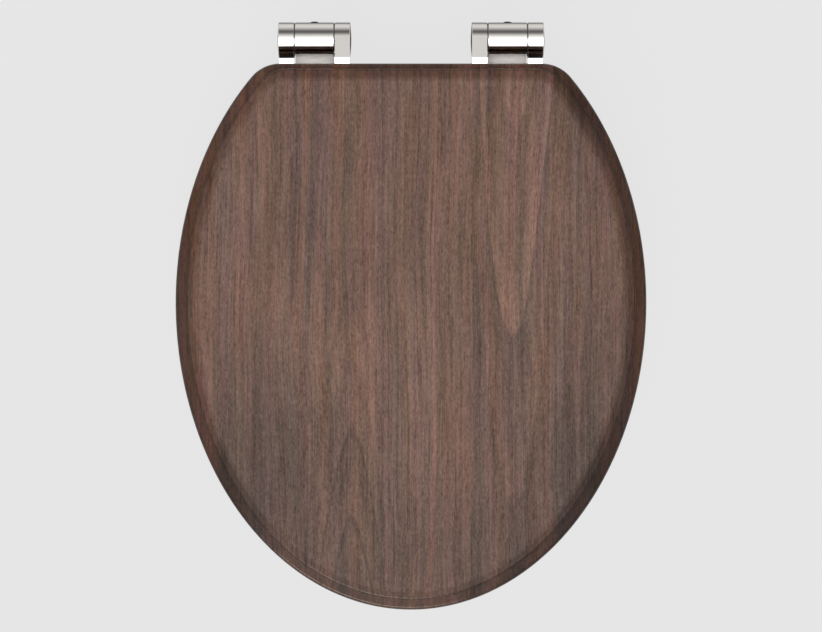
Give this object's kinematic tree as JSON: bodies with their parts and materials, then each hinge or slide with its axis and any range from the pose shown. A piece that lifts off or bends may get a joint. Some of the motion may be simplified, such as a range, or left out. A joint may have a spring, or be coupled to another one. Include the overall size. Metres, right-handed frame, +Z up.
{
  "type": "toilet seat",
  "caption": "Oval wooden toilet seat: stepped-rim lid over a ring, on chromed soft-closing barrel hinges with studs that bolt through the pan.",
  "frame": {"origin": "on the rim of the pan, midway between the two fixing studs, under the hinge axis", "axes": "+X to the right and +Y to the rear as seen from above, +Z up from the rim of the pan"},
  "size_m": [0.375, 0.4703, 0.105],
  "materials": {
    "walnut": "satin lacquer",
    "chrome": "polished",
    "satin_steel": "satin",
    "steel": "bright zinc",
    "black_steel": "blackened",
    "rubber": "matt",
    "pale_rubber": "translucent matt",
    "black_plastic": "fine matt",
    "white_plastic": "moulded"
  },
  "bodies": {
    "base": {"hinge_post_left": "chrome", "hinge_post_right": "chrome", "foot_plate_left": "satin_steel", "foot_plate_right": "satin_steel", "foot_gasket_left": "rubber", "foot_gasket_right": "rubber", "damper_housing_left": "black_plastic", "damper_housing_right": "black_plastic", "damper_plug_left": "white_plastic", "damper_plug_right": "white_plastic", "damper_seal_left": "rubber", "damper_seal_right": "rubber", "pivot_pin_left": "steel", "pivot_pin_right": "steel", "thrust_washers_left": "black_plastic", "thrust_washers_right": "black_plastic", "grub_screws": "black_steel", "fixing_studs": "steel", "pan_washers": "rubber", "wing_nuts": "white_plastic"},
    "seat": {"seat_ring": "walnut", "seat_buffers": "pale_rubber", "seat_arm_left": "chrome", "seat_arm_right": "chrome", "seat_arm_screws": "steel", "damper_rotor_right": "steel"},
    "lid": {"lid": "walnut", "lid_buffers": "pale_rubber", "lid_arm_left": "chrome", "lid_arm_right": "chrome", "lid_arm_screws": "steel", "damper_rotor_left": "steel"}
  },
  "joints": [
    {"name": "seat_hinge", "type": "hinge", "parent": "base", "child": "seat", "pos_m": [0, 0, 0.0177], "axis": [-1, 0, 0], "range_deg": [0, 95]},
    {"name": "lid_hinge", "type": "hinge", "parent": "seat", "child": "lid", "pos_m": [0, 0, 0.0177], "axis": [-1, 0, 0], "range_deg": [0, 100]}
  ]
}
